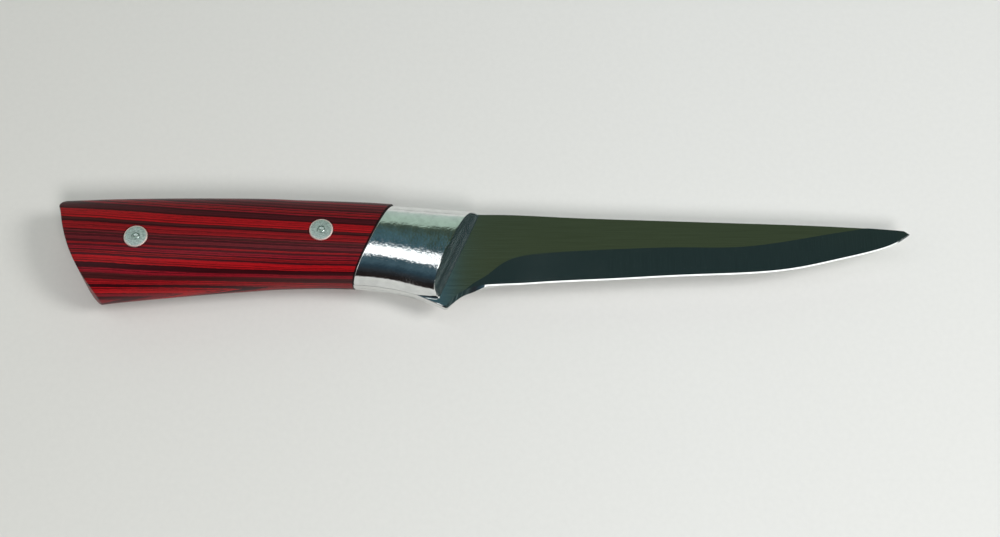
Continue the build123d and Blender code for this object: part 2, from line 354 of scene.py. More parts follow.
def turned(name, profile, place, steps):
    """A solid of revolution from (radius, level) pairs, upright at a place."""
    turns = [2 * pi * step / steps for step in range(steps)]
    points = [
        (place[0] + radius * cos(turn), place[1] + radius * sin(turn), level)
        for radius, level in profile for turn in turns
    ]
    faces = []
    for a in range(0, (len(profile) - 1) * steps, steps):
        for step in range(steps):
            after = (step + 1) % steps
            faces.append((a + step, a + after, a + steps + after, a + steps + step))
    return add_piece(name, points, faces)


def slab(name, outline, low, high):
    """An upright slab from its outline."""
    count = len(outline)
    points = [(x, y, z) for z in (low, high) for x, y in outline]
    faces = [tuple(range(count)), tuple(range(count, 2 * count))]
    for i in range(count):
        j = (i + 1) % count
        faces.append((i, j, count + j, count + i))
    return add_piece(name, points, faces)


def finish_piece(piece, material, slot, *nodes):
    """Gives the piece its hard edges, its material and its place in the frame."""
    shade(piece)
    piece.data.materials.clear()
    piece.data.materials.append(material)
    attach(piece, BODY)
    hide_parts(*nodes)


# Blade


# Zones of the plate's surface; the last three run across it
FLAT, BEVEL, STRIP, EASED, SPINE, EDGE, END = range(7)
BEVEL_STEPS, FLAT_STEPS, TIP_SECTIONS = 8, 10, 22
REAR_STRIP = (0.1, 0.3)  # width of the lower strip behind and at the guard point
GUARD_LEAD = 1.0  # from this far behind the guard point the strip grows to the chamfer
NEAR_TIP = 0.97  # share of the blade's length where its tip thickness is reached
DENSE_STEP, DENSE_LEAD = 0.02, 12  # spacing of the blade's lines, and their start behind it
NO_WIDTH = 1e-6


def unit(way):
    """The direction of a way, with a length of one."""
    return way / np.linalg.norm(way)


def chord_inset(k, spine, belly):
    """How much lower the bolster is beside the plate than over its middle."""
    width = (k.blade.thickness / k.bolster.thickness) ** k.grip.squareness
    return (spine - belly) / 2 * (1 - (1 - width) ** (1 / k.grip.squareness))


def plate_lines(k, places):
    """Lower edge, strip, grind line and spine of the plate, and its half thicknesses."""
    b, c = k.blade, k.bolster
    rows = scaled(BOLSTER_LINES, k.joint, c.length, c.height)
    guard = np.array((k.root - b.guard_reach, -b.guard_drop))
    guard_back = guard[0] - b.guard_run
    behind = [(x, low + chord_inset(k, up, low)) for x, up, low in rows if x < guard_back]
    heel = scaled(HEEL_LINES, k.root, b.guard_reach, b.guard_drop)
    honed = scaled(EDGE_LINES, k.root, b.length, b.height)
    tip = (k.root + b.length, b.height * TIP_LEVEL)
    spine = [(x, up - chord_inset(k, up, low)) for x, up, low in rows[:-1]]
    spine += scaled(SPINE_LINE, k.root, b.length, b.height)

    # Guard point, rounded between the straight part behind it and the heel
    sides = (behind[-1], heel[0][:2])
    back, ahead = (unit(np.array(side) - guard) for side in sides)
    half = np.arccos(back @ ahead) / 2
    reach = b.guard_radius / np.tan(half)
    start, end = guard + back * reach, guard + ahead * reach
    centre = guard + unit(back + ahead) * b.guard_radius / np.sin(half)

    first, heel_x = honed[0], heel[0][0]
    straight = np.interp(places, *np.transpose([sides[0], guard, sides[1]]))
    arc = centre[1] - np.sqrt(np.maximum(b.guard_radius**2 - (places - centre[0]) ** 2, 0))
    blunt = smooth_line(heel + [first])(places)
    keen = smooth_line(honed + [tip])(places)
    low = smooth_line(behind)(places)
    low = np.where(places > behind[-1][0], straight, low)
    low = np.where((places > start[0]) & (places < end[0]), arc, low)
    low = np.where(places > heel_x, blunt, low)
    low = np.where(places > first[0], keen, low)

    last = spine[-1]
    to_tip = np.interp(places, *np.transpose([last, tip]))
    top = np.where(places > last[0], to_tip, smooth_line(spine)(places))
    top = np.maximum(top, low)

    # The lower strip: narrow behind the guard point, a chamfer on the heel, then the honing
    chamfer_start, chamfer_end = guard[0] + 1.5, k.root - 1.0
    strip = np.interp(
        places,
        [guard_back, guard[0] - GUARD_LEAD, chamfer_start, chamfer_end, first[0]],
        [*REAR_STRIP, b.heel_chamfer, b.heel_chamfer, b.honed_width],
    )
    fall = np.interp(places, [chamfer_end, first[0]], [tan(b.heel_lean), tan(b.honing)])
    grind = smooth_line(heel + honed, 2)(places)
    grind = np.where(places < heel_x, low + heel[0][2] - heel[0][1], grind)

    # Half thickness of the flats, above the strip and at the edge
    flat_half = np.interp(
        places,
        [k.root + b.taper_start, k.root + NEAR_TIP * b.length, tip[0]],
        [b.thickness / 2 - b.ground, b.tip_thickness / 2, b.point_thickness / 2],
    )
    strip_half = np.maximum(
        flat_half - np.maximum(grind - low - strip, 0) * tan(b.bevel), b.honed_thickness / 2
    )
    edge_half = np.maximum(strip_half - strip * fall, b.edge / 2)
    return low, strip, grind, top, flat_half, strip_half, edge_half


def stations(k):
    """Where the blade's sections stand, and how far each leans with the bolster."""
    wide, close, closest = 1.0, 0.3, 0.2  # from one section to the next
    before_foot, past_heel, near_tip = k.foot - 3, k.root + 8, k.root + 116
    upright_from, upright_at = k.root + 16, k.root + 70
    places = np.concatenate(
        [
            np.arange(k.joint, before_foot - wide / 2, wide),
            np.arange(before_foot, k.foot - closest / 2, closest),
            [k.foot, k.foot],  # the step from the plate in the bolster to the ground flats
            np.arange(k.foot + closest, past_heel, close),
            np.arange(past_heel + wide / 2, near_tip, wide),
            np.linspace(near_tip + wide / 2, k.root + k.blade.length, TIP_SECTIONS),
        ]
    )
    fade = np.clip((places - upright_from) / (upright_at - upright_from), 0, 1)
    return places, k.slant * (1 - fade * fade * (3 - 2 * fade))


def blade_plate(k):
    """The steel plate from the joint to the tip: flats, bevel and honed strip."""
    b = k.blade
    dense = np.arange(k.joint - DENSE_LEAD, k.root + b.length + 0.001, DENSE_STEP)
    dense[-1] = k.root + b.length
    low, strip, grind, top, flat_half, strip_half, edge_half = plate_lines(k, dense)
    honed = np.minimum(low + strip, top)
    ground = np.minimum(np.maximum(grind, honed), top)
    eased = np.maximum(top - b.spine_ease, ground)
    rows = [low] + [honed + (ground - honed) * i / BEVEL_STEPS for i in range(BEVEL_STEPS + 1)]
    rows += [ground + (eased - ground) * (i + 1) / FLAT_STEPS for i in range(FLAT_STEPS)]
    rows += [top]

    places, leans = stations(k)
    at_foot = int(np.argmax(places >= k.foot))
    points = []
    for number, (place, lean) in enumerate(zip(places, leans)):
        side = []
        for row in rows:
            x = np.interp(place, dense - lean * row, dense)
            lowest, width, bevel_top, y, thin, thick, half = (
                np.interp(x, dense, line)
                for line in (low, strip, grind, row, edge_half, strip_half, flat_half)
            )
            if number <= at_foot:
                half = b.thickness / 2
            fall = [0, max(width, NO_WIDTH), max(bevel_top - lowest, width + NO_WIDTH)]
            z = np.interp(y - lowest, fall, [thin, thick, half])
            if row is top:
                z = max(z - b.spine_ease, min(z, b.edge / 2))
            side.append((x, y, z))
        points += [(x, y, k.middle + z) for x, y, z in side]
        points += [(x, y, k.middle - z) for x, y, z in reversed(side)]

    zones = [STRIP] + [BEVEL] * BEVEL_STEPS + [FLAT] * FLAT_STEPS + [EASED]
    around = zones + [SPINE] + zones[::-1] + [EDGE]
    faces, marks, ring = [], [], 2 * len(rows)
    for a in range(0, (len(places) - 1) * ring, ring):
        for index in range(ring):
            after = (index + 1) % ring
            faces.append((a + index, a + after, a + ring + after, a + ring + index))
        marks += around
    faces.append(tuple(range(ring)))
    return add_piece("blade_piece", points, faces, marks + [END])


def tang(k, name, room, half):
    """The tang inside the bolster and the wood, or the room cut for it."""
    b = k.blade
    slope = (k.front[1] - k.rear[1]) / (k.front[0] - k.rear[0])
    front_x, end_x = k.joint + k.bolster.length / 2, k.rear[0] - b.tang_beyond - room
    front_y = k.front[1] + slope * (front_x - k.front[0])
    end_y = k.rear[1] - slope * b.tang_beyond
    tall, short = b.tang_front / 2 + room, b.tang_rear / 2 + room

    # Straight sides from the front and rounded corners at the end
    outline = [(front_x, front_y + tall)]
    for sign, first in ((1, 90), (-1, 180)):
        x, y = end_x + b.tang_radius, end_y + sign * (short - b.tang_radius)
        for turn in np.radians(np.arange(first, first + 91, 15)):
            outline.append((x + b.tang_radius * cos(turn), y + b.tang_radius * sin(turn)))
    outline.append((front_x, front_y - tall))
    return slab(name, outline, k.middle - half, k.middle + half)


class KNIFE_OT_blade(bpy.types.Operator):
    """Make the blade with its hidden tang"""

    bl_idname = "knife.add_blade"
    bl_label = "Blade"

    def execute(self, context):
        k = knife()
        piece = blade_plate(k)
        inside = 0.01  # the tang's faces lie this far inside the plate's
        combine(piece, tang(k, "tang_tool", 0, k.blade.thickness / 2 - inside), "UNION")
        radius, low, high = k.rivets.sleeve_diameter / 2 + PLAY, 2, 15
        bore = [(0, low), (radius, low), (radius, high), (0, high)]
        for place in (k.rear, k.front):
            combine(piece, turned("bore_tool", bore, place, 48), "DIFFERENCE")
        steel = context.scene.fillet_knife.blade.steel
        finish_piece(piece, blade_steel(steel), "blade_steel", "blade")
        return {"FINISHED"}


# Bolster


OUTER, FRONT, JOINT, INNER = range(4)  # zones of a bolster half's surface
CROWN_STEP = 2.5  # degrees between the lines around the crown
ALONG_ROWS = 33
SUPPORT_AT_JOINT, SUPPORT_AT_LIP = 0.45, 0.4  # rows that keep reflections even beside the rims
ACROSS_FRONT = (0, 0.02, *np.linspace(0.05, 0.95, 19), 0.98, 1)
LIP_SEGMENTS = 3
FOOT_STEP = 0.05  # least height of the lines around the crown above the foot
SLANT_ROUNDS = 30  # rounds after which a slanted line has met the barrel


def front_arc(c, half, foot):
    """How far the front lies ahead of the foot line, as a function of the height."""
    rise = half + c.front_rise - foot
    chord = sqrt(rise * rise + c.front_lean**2)
    radius = (chord * chord / 4 + c.front_hollow**2) / (2 * c.front_hollow)
    out = radius - c.front_hollow
    middle_x = rise * out / chord - c.front_lean / 2
    middle_z = foot + rise / 2 + c.front_lean * out / chord

    def front(height):
        over = max(height, foot) - middle_z
        return (middle_x - sqrt(radius * radius - over * over)) / cos(c.slant)

    return front


def bolster_half(k, name, side):
    """One half of the bolster: a barrel cut by the slanted joint and the leaning front."""
    c, half, plate = k.bolster, k.bolster.thickness / 2, k.blade.thickness / 2
    foot = plate + c.foot
    front = front_arc(c, half, foot)
    rows = scaled(BOLSTER_LINES, k.joint, c.length, c.height)
    spine, belly = smooth_line(rows, 1), smooth_line(rows, 2)

    # Heights above the mid plane from the crown down, close where the form turns
    heights = half * np.cos(np.radians(np.arange(0, 90, CROWN_STEP))) ** k.power
    heights = [h for h in heights if h > foot + FOOT_STEP] + [foot, plate]
    shares_up = [
        np.sin(np.arccos(min((h / half) ** (1 / k.power), 1))) ** k.power for h in heights
    ]

    def barrel(x, up):
        """Level of the barrel's surface at a place, for a share of its half height."""
        top, low = spine(x), belly(x)
        return (top + low) / 2 + (top - low) / 2 * up

    def on_slant(start, up):
        """Place where the slanted line from start meets the barrel."""
        x = start
        for _ in range(SLANT_ROUNDS):
            x = start + k.slant * barrel(x, up)
        return x

    shares = np.linspace(0, 1, ALONG_ROWS)
    outer = {}
    for sign in (1, -1):
        for level, (height, share) in enumerate(zip(heights, shares_up)):
            up = sign * share
            first, last = on_slant(k.joint, up), on_slant(k.foot + front(height), up)
            xs = first + (last - first) * shares
            xs[1], xs[-2] = first + SUPPORT_AT_JOINT, last - SUPPORT_AT_LIP
            outer[sign * level] = [(x, barrel(x, up), height) for x in xs]

    # Around the barrel, from the mid plane at the spine over the crown to the belly
    count, steps = len(heights), len(ACROSS_FRONT) - 1
    order = [-i for i in range(count - 1, 0, -1)] + list(range(count))
    faces, marks = [], []
    for row in range(ALONG_ROWS - 1):
        for a, b in zip(order, order[1:]):
            corners = ((a, row), (a, row + 1), (b, row + 1), (b, row))
            faces.append([outer[line][at] for line, at in corners])
            marks.append(OUTER)

    def on_front(level, step):
        """A point of the front, on the straight line from its spine side to its belly."""
        top, low = outer[level][-1], outer[-level][-1]
        if step in (0, steps) or level == 0:
            return top if step == 0 else low
        return tuple(np.array(top) + (np.array(low) - top) * ACROSS_FRONT[step])

    for level in range(count - 1):
        for step in range(steps):
            corners = ((level, step), (level, step + 1), (level + 1, step + 1), (level + 1, step))
            faces.append([on_front(*corner) for corner in corners])
            marks.append(FRONT)
    faces.append([outer[line][0] for line in order])
    inner = outer[order[0]] + [on_front(count - 1, step) for step in range(steps - 1, 0, -1)]
    faces.append(inner + outer[order[-1]][::-1])
    marks += [JOINT, INNER]

    # Each point once, and no face with less than three of them
    index = {}
    faces = [dict.fromkeys(index.setdefault(p, len(index)) for p in face) for face in faces]
    marks = [mark for face, mark in zip(faces, marks) if len(face) > 2]
    faces = [tuple(face) for face in faces if len(face) > 2]
    points = [(x, y, k.middle + side * z) for x, y, z in index]
    piece = add_piece(name, points, faces, marks)
    round_rim(piece, FRONT, c.lip)
    round_rim(piece, JOINT, c.joint_ease)
    return piece


def round_rim(piece, other, width):
    """Rounds the rim between the outer zone and another one."""
    with edited(piece) as form:
        zone = form.faces.layers.int["zone"]
        rim = [e for e in form.edges if {f[zone] for f in e.link_faces} == {OUTER, other}]
        made = bmesh.ops.bevel(
            form, geom=rim, offset=width * MM, segments=LIP_SEGMENTS, profile=0.5,
            affect="EDGES", clamp_overlap=True,
        )
        for face in made["faces"]:
            face[zone] = OUTER
        for face in form.faces:
            if face[zone] == FRONT:
                face[zone] = OUTER


class KNIFE_OT_bolster(bpy.types.Operator):
    """Make both halves of the bolster"""

    bl_idname = "knife.add_bolster"
    bl_label = "Bolster"

    def execute(self, context):
        k = knife()
        material = bolster_steel(context.scene.fillet_knife.bolster.steel)
        for side, hand in ((1, "left"), (-1, "right")):
            piece = bolster_half(k, f"bolster_{hand}_piece", side)
            finish_piece(piece, material, "bolster_steel", f"bolster_{hand}")
        return {"FINISHED"}


# Node trees


class Value:
    """An output of a node, with which sums are written plainly."""

    def __init__(self, nodes, socket):
        self.nodes, self.socket = nodes, socket

    def __add__(self, other):
        return self.nodes.math("ADD", self, other)

    def __sub__(self, other):
        return self.nodes.math("SUBTRACT", self, other)

    def __rsub__(self, other):
        return self.nodes.math("SUBTRACT", other, self)

    def __mul__(self, other):
        return self.nodes.math("MULTIPLY", self, other)

    def __truediv__(self, other):
        return self.nodes.math("DIVIDE", self, other)

    def at_least(self, low):
        return self.nodes.math("MAXIMUM", self, low)

    def at_most(self, high):
        return self.nodes.math("MINIMUM", self, high)


class Nodes:
    """Short calls that add nodes to a tree and feed their sockets."""

    def __init__(self, tree):
        self.tree = tree

    def feed(self, socket, value):
        if isinstance(value, Value):
            self.tree.links.new(value.socket, socket)
        else:
            socket.default_value = value

    def add(self, kind, inputs=None, **settings):
        node = self.tree.nodes.new(kind)
        for name, value in settings.items():
            setattr(node, name, value)
        for socket, value in (inputs or {}).items():
            self.feed(node.inputs[socket], value)
        return node

    def out(self, kind, inputs=None, output=0, **settings):
        """Adds a node and gives one of its outputs."""
        return Value(self, self.add(kind, inputs, **settings).outputs[output])

    def math(self, operation, *values):
        return self.out("ShaderNodeMath", dict(enumerate(values)), operation=operation)

    def axes(self, place):
        """The three axes of a place or a direction."""
        node = self.add("ShaderNodeSeparateXYZ", {0: place})
        return [Value(self, socket) for socket in node.outputs]

    def curve(self, factor, points):
        """A smooth line through points whose places and levels are from 0 to 1."""
        node = self.add("ShaderNodeFloatCurve", {"Value": factor})
        line = node.mapping.curves[0]
        for number, (place, level) in enumerate(points):
            if number < 2:
                line.points[number].location = place, level
            else:
                line.points.new(place, level)
        node.mapping.use_clip = False
        node.mapping.update()
        return Value(self, node.outputs[0])


SOCKET_KINDS = {float: "Float", int: "Int", tuple: "Vector", bpy.types.Material: "Material"}


def new_geometry_tree(name, values):
    """A geometry node tree with a named input for each value, its Nodes and its inputs."""
    tree = bpy.data.node_groups.new(name, "GeometryNodeTree")
    tree.interface.new_socket("Geometry", in_out="OUTPUT", socket_type="NodeSocketGeometry")
    for label, value in values.items():
        kind = "NodeSocket" + SOCKET_KINDS[type(value)]
        socket = tree.interface.new_socket(label, in_out="INPUT", socket_type=kind)
        socket.default_value = value
    n = Nodes(tree)
    return tree, n, {s.name: Value(n, s) for s in n.add("NodeGroupInput").outputs}


def grow(name, tree, values):
    """Runs a geometry node tree with its inputs set and keeps the result as a mesh."""
    piece = add_object(name, bpy.data.meshes.new(name))
    modifier = piece.modifiers.new("Shape", "NODES")
    modifier.node_group = tree
    for item in tree.interface.items_tree:
        if item.in_out == "INPUT":
            modifier[item.identifier] = values[item.name]
    settle(piece)
    clean(piece)
    return piece


def grid_rows(n, rows, columns):
    """A grid of points, and the row and column of each."""
    grid = n.out(
        "GeometryNodeMeshGrid",
        {"Size X": 1.0, "Size Y": 1.0, "Vertices X": rows, "Vertices Y": columns},
    )
    index = n.out("GeometryNodeInputIndex")
    row = n.math("FLOOR", (index + 0.5) / columns)
    return grid, row, index - row * columns


def placed(n, form, x, y, z):
    """The form with its points moved to their places."""
    where = n.out("ShaderNodeCombineXYZ", {"X": x, "Y": y, "Z": z})
    return n.out("GeometryNodeSetPosition", {"Geometry": form, "Position": where})


def welded(n, form):
    """The form with the points that have met made one."""
    return n.out("GeometryNodeMergeByDistance", {"Geometry": form, "Distance": WELD})


def end_tree(n, form, material):
    """Makes the form real, gives it its material and hands it out."""
    real = n.out("GeometryNodeRealizeInstances", {"Geometry": form})
    made = n.out("GeometryNodeSetMaterial", {"Geometry": real, "Material": material})
    n.add("NodeGroupOutput", {"Geometry": made})


# Grip


BUTT_ROWS, RIM_STEPS, JOINT_ROWS = 2, 4, 4
BUTT_ROUNDS, JOINT_ROUNDS = 4, 3  # rounds after which an end has met the wood's surface
BUTT_GUESS = 7 * MM  # where the first round starts, ahead of the butt
TANG_ROOM, TANG_SIDE_ROOM = 0.25, 0.05  # millimetres around the tang's outline, beside its faces


def grip_line(n, share, rows, column):
    """Level of one of the grip's lines, as a share, at a share of its length."""
    places, levels = [row[0] for row in rows], [row[column] for row in rows]
    first, run = min(places), max(places) - min(places)
    low, rise = min(levels), max(levels) - min(levels)
    points = [((place - first) / run, (level - low) / rise) for place, level in zip(places, levels)]
    return n.curve((share - first) * (1 / run), points) * rise + low


def scale_tree(values):
    """Geometry nodes for one half of the grip, from its rule of section and outline."""
    tree, n, size = new_geometry_tree("Half of the grip", values)
    grid, row, column = grid_rows(n, size["Rows"], size["Columns"])
    joint = size["Butt"] + size["Length"]

    # Around the half: a superellipse from the belly to the spine
    turn = (column / (size["Columns"] - 1) - 0.5) * pi
    sine, cosine = n.math("SINE", turn), n.math("COSINE", turn)
    power = n.math("DIVIDE", 2.0, size["Squareness"])
    up = n.math("SIGN", sine) * n.math("POWER", n.math("ABSOLUTE", sine), power)
    out = n.math("POWER", n.math("ABSOLUTE", cosine), power)

    # Along it: the butt, its rounded rim, the wood, its eased rim beside the joint, the joint
    rim_turn = (row - BUTT_ROWS).at_least(0).at_most(RIM_STEPS) * (pi / 2 / RIM_STEPS)
    inset = size["Butt ease"] * (1.0 - n.math("SINE", rim_turn))
    ahead = size["Butt ease"] * (1.0 - n.math("COSINE", rim_turn))
    wood_rows = size["Rows"] - (BUTT_ROWS + RIM_STEPS + JOINT_ROWS)
    along = ((row - (BUTT_ROWS + RIM_STEPS)).at_least(0) / wood_rows).at_most(1.0)
    from_end = size["Rows"] - 1 - row
    inset = inset + size["Joint ease"] * n.math("LESS_THAN", from_end, JOINT_ROWS - 1.5)
    eased = size["Joint ease"] * n.math("COMPARE", from_end, JOINT_ROWS - 1.0, 0.5)
    opened = (row * (1 / BUTT_ROWS)).at_most(1.0) * (from_end * 0.5).at_most(1.0)

    def level(x):
        """Level of the wood's surface at a place."""
        share = (x - size["Butt"]) / size["Length"]
        spine, belly = (grip_line(n, share, GRIP_LINES, i) * size["Height"] for i in (1, 2))
        half = (spine - belly) * 0.5 - inset
        return (spine + belly) * 0.5 + half * up

    def butt_at(y):
        run = grip_line(n, y / size["Height"], BUTT_LINE, 1) * size["Butt rake"]
        return size["Butt"] + run - size["Butt lead"] + ahead

    def joint_at(x):
        return joint + level(x) * size["Slant"]

    # Both ends depend on the level and the level on the place, so they are found by turns
    start, end = size["Butt"] + BUTT_GUESS, joint
    for _ in range(BUTT_ROUNDS):
        start = butt_at(level(start))
    for _ in range(JOINT_ROUNDS):
        end = joint_at(end)
    x = start + (end - start) * along - eased
    y = level(x)
    height = (size["Half thickness"] - inset) * out * opened

    upper = placed(n, grid, x, y, size["Middle"] + height * size["Side"])
    inner = n.out("GeometryNodeFlipFaces", {"Mesh": placed(n, grid, x, y, size["Middle"])})
    both = n.add("GeometryNodeJoinGeometry")
    for part in (upper, inner):
        n.feed(both.inputs[0], part)
    end_tree(n, welded(n, Value(n, both.outputs[0])), size["Material"])
    return tree


class KNIFE_OT_scales(bpy.types.Operator):
    """Make the two wooden scales, bedded over the tang and bored for the rivets"""

    bl_idname = "knife.add_scales"
    bl_label = "Scales"

    def execute(self, context):
        k = knife()
        g, r = k.grip, k.rivets
        material = striped_wood(context.scene.fillet_knife.grip, k)
        values = {
            "Butt": k.butt * MM,
            "Length": g.length * MM,
            "Height": g.height * MM,
            "Half thickness": g.thickness / 2 * MM,
            "Middle": k.middle * MM,
            "Side": 1.0,
            "Squareness": g.squareness,
            "Butt rake": g.butt_rake * MM,
            "Butt lead": g.butt_lead * MM,
            "Butt ease": g.butt_ease * MM,
            "Joint ease": g.joint_ease * MM,
            "Slant": k.slant,
            "Rows": g.rows,
            "Columns": g.columns,
            "Material": material,
        }
        tree = scale_tree(values)

        # Bores with seats for the heads, as levels from the mid plane
        seat, low, high = k.middle - r.head_thickness, -1, k.middle + 2
        head, shank = r.head_diameter / 2 + r.seat_gap, r.sleeve_diameter / 2 + PLAY
        bore = [(0, low), (shank, low), (shank, seat), (head, seat), (head, high), (0, high)]
        for side, hand in ((1.0, "left"), (-1.0, "right")):
            piece = grow(f"scale_{hand}_piece", tree, {**values, "Side": side})
            room = tang(k, "tang_room", TANG_ROOM, k.blade.thickness / 2 + TANG_SIDE_ROOM)
            combine(piece, room, "DIFFERENCE")
            profile = [(radius, k.middle + side * level) for radius, level in bore]
            for place in (k.rear, k.front):
                combine(piece, turned("bore_tool", profile, place, 64), "DIFFERENCE")
            clean(piece)
            finish_piece(piece, material, "striped_wood", f"scale_{hand}")
        return {"FINISHED"}


# Rivets


RIVET_COLUMNS = 65


def turned_tree(name, values, steps):
    """Geometry nodes that turn a profile of named sizes and set it at both rivets."""
    tree, n, size = new_geometry_tree(name, values)
    grid, row, column = grid_rows(n, steps, RIVET_COLUMNS)
    turn = column * (2 * pi / (RIVET_COLUMNS - 1))

    def pick(label):
        """The size of that label that belongs to the row."""
        switch = n.add("GeometryNodeIndexSwitch", data_type="FLOAT")
        for _ in range(steps - 2):
            switch.index_switch_items.new()
        n.feed(switch.inputs["Index"], row)
        for step in range(steps):
            n.feed(switch.inputs[step + 1], size[f"{label} {step}"])
        return Value(n, switch.outputs[0])

    radius = pick("Radius")
    x, y = radius * n.math("COSINE", turn), radius * n.math("SINE", turn)
    form = welded(n, placed(n, grid, x, y, pick("Level")))
    spots = n.out(
        "GeometryNodeMeshLine",
        {"Count": 2, "Start Location": size["Rear"], "Offset": size["Front"]},
        mode="END_POINTS",
    )
    rivets = n.out("GeometryNodeInstanceOnPoints", {"Points": spots, "Instance": form})
    end_tree(n, rivets, size["Material"])
    return tree


class KNIFE_OT_rivets(bpy.types.Operator):
    """Make the rivets: headed sleeves and the headed pins through them"""

    bl_idname = "knife.add_rivets"
    bl_label = "Rivets"

    def execute(self, context):
        k = knife()
        r, top = k.rivets, k.grip.thickness
        material = rivet_metal(context.scene.fillet_knife.rivets, k)
        head, sleeve, pin = r.head_diameter / 2, r.sleeve_diameter / 2, r.pin_diameter / 2
        bore, ease, seat = pin + PLAY, r.head_ease, r.head_thickness

        # Radius and depth: a head's rounded rim, and the pin's edge and dimple
        rim = ((head - 2.2 * ease, 0.05), (head - ease, 0.11), (head - 0.3 * ease, 0.24),
               (head, 0.42), (head, seat))
        pin_end = ((pin, 0.30), (pin - 0.10, 0.17), (pin - 0.24, 0.06), (0.68 * pin, 0.02),
                   (0.50 * pin, 0.4 * r.dimple), (0.28 * pin, 0.8 * r.dimple), (0, r.dimple))
        sleeve_end = seat + 0.1
        sleeves = [(bore, top), (bore + 0.9, top - 0.01)]
        sleeves += [(radius, top - depth) for radius, depth in rim]
        sleeves += [(sleeve, top - seat), (sleeve, sleeve_end), (bore, sleeve_end), (bore, top)]
        pins = [(0, 0), *rim, (pin, seat), *((radius, top - depth) for radius, depth in pin_end)]
        for piece_name, profile, kind in (
            ("rivet_sleeves", sleeves, "rivet_sleeve"),
            ("rivet_pins", pins, "rivet_pin"),
        ):
            values = {
                "Rear": (k.rear[0] * MM, k.rear[1] * MM, 0.0),
                "Front": (k.front[0] * MM, k.front[1] * MM, 0.0),
            }
            for step, (radius, level) in enumerate(profile):
                values[f"Radius {step}"] = float(radius * MM)
                values[f"Level {step}"] = float(level * MM)
            values["Material"] = material
            piece = grow(piece_name, turned_tree(piece_name, values, len(profile)), values)
            finish_piece(piece, material, "rivet_metal", f"rear_{kind}", f"front_{kind}")
        return {"FINISHED"}


# Materials


def new_material(name, **shader):
    """A material, its Nodes, its main shader and object coordinates in millimetres."""
    material = bpy.data.materials.new(name)
    material.use_nodes = True
    material.node_tree.nodes.clear()
    n = Nodes(material.node_tree)
    values = {label.replace("_", " "): value for label, value in shader.items()}
    surface = n.add("ShaderNodeBsdfPrincipled", values)
    n.add("ShaderNodeOutputMaterial", {"Surface": Value(n, surface.outputs[0])})
    place = n.out("ShaderNodeTexCoord", output="Object")
    place = n.out("ShaderNodeVectorMath", {0: place, "Scale": 1 / MM}, operation="SCALE")
    return material, n, surface, place


def stretched(n, place, *scales):
    """Coordinates scaled along each axis."""
    return n.out("ShaderNodeVectorMath", {0: place, 1: scales}, operation="MULTIPLY")


def noise(n, place, scale=1.0, detail=3.0, roughness=0.5):
    """Soft noise from 0 to 1, finer with a higher scale."""
    values = {"Vector": place, "Scale": scale, "Detail": detail, "Roughness": roughness}
    return n.out("ShaderNodeTexNoise", values, "Fac")


def layers(n, across, detail, roughness):
    """Thin even layers, at random levels across the veneers."""
    values = {"W": across, "Scale": 1.0, "Detail": detail, "Roughness": roughness}
    return n.out("ShaderNodeTexNoise", values, "Fac", noise_dimensions="1D")


def between(n, factor, low, high, start=0.0, end=1.0):
    """The factor's range from start to end carried to the range from low to high."""
    return n.out(
        "ShaderNodeMapRange",
        {"Value": factor, "From Min": start, "From Max": end, "To Min": low, "To Max": high},
    )


def mixed(n, factor, *tones, blend="MIX"):
    """Two tones, each a colour or a node's output, mixed by the factor."""
    first, second = (tone if isinstance(tone, Value) else (*tone, 1) for tone in tones)
    values = {"Factor": factor, 6: first, 7: second}
    return n.out("ShaderNodeMix", values, 2, data_type="RGBA", blend_type=blend)


def shaded(n, tone, grey):
    """The tone made darker or paler by a grey."""
    grey = n.out("ShaderNodeCombineColor", {0: grey, 1: grey, 2: grey})
    return mixed(n, 1.0, tone, grey, blend="MULTIPLY")


def ramp(n, factor, stops, interpolation="LINEAR"):
    """A colour ramp from (place, colour) stops."""
    node = n.add("ShaderNodeValToRGB", {"Fac": factor})
    band = node.color_ramp
    band.interpolation = interpolation
    for number, (place, tone) in enumerate(stops):
        stop = band.elements[number] if number < 2 else band.elements.new(place)
        stop.position, stop.color = place, (*tone, 1)
    return Value(n, node.outputs["Color"])


def darker(tone, share):
    """The tone at a share of its brightness."""
    return tuple(share * value for value in tone)


def finish_surface(n, surface, tone, rough, relief=None, strength=0.0, depth=0.0):
    """Feeds the shader, with a relief whose depth is in millimetres."""
    n.feed(surface.inputs["Base Color"], tone)
    n.feed(surface.inputs["Roughness"], rough)
    if relief is not None:
        values = {"Strength": strength, "Distance": depth * MM, "Height": relief}
        n.feed(surface.inputs["Normal"], n.out("ShaderNodeBump", values))


def blade_steel(steel):
    """Polished flats, and a bevel with fine grinding lines across it."""
    material, n, surface, place = new_material("blade steel", Metallic=1.0)
    zone = n.out("ShaderNodeAttribute", output="Fac", attribute_name="zone")
    on_bevel = n.math("COMPARE", zone, float(BEVEL), 0.5)
    scratches = noise(n, stretched(n, place, 6.0, 0.12, 0.12), 1.0, 4.0, 0.6)
    rubbed = noise(n, stretched(n, place, 0.06, 3.0, 3.0), 1.0, 4.0, 0.6)
    cloud = noise(n, stretched(n, place, 0.05, 0.12, 0.12), 1.0, 2.0)
    marks = n.out("ShaderNodeMix", {0: on_bevel, 2: rubbed, 3: scratches})
    tone = ramp(n, marks, ((0.3, darker(steel, 0.84)), (0.7, steel)))
    rough = between(n, cloud, 0.03, 0.07) + marks * 0.05
    finish_surface(n, surface, tone, rough, marks, 0.12, 0.004)
    return material


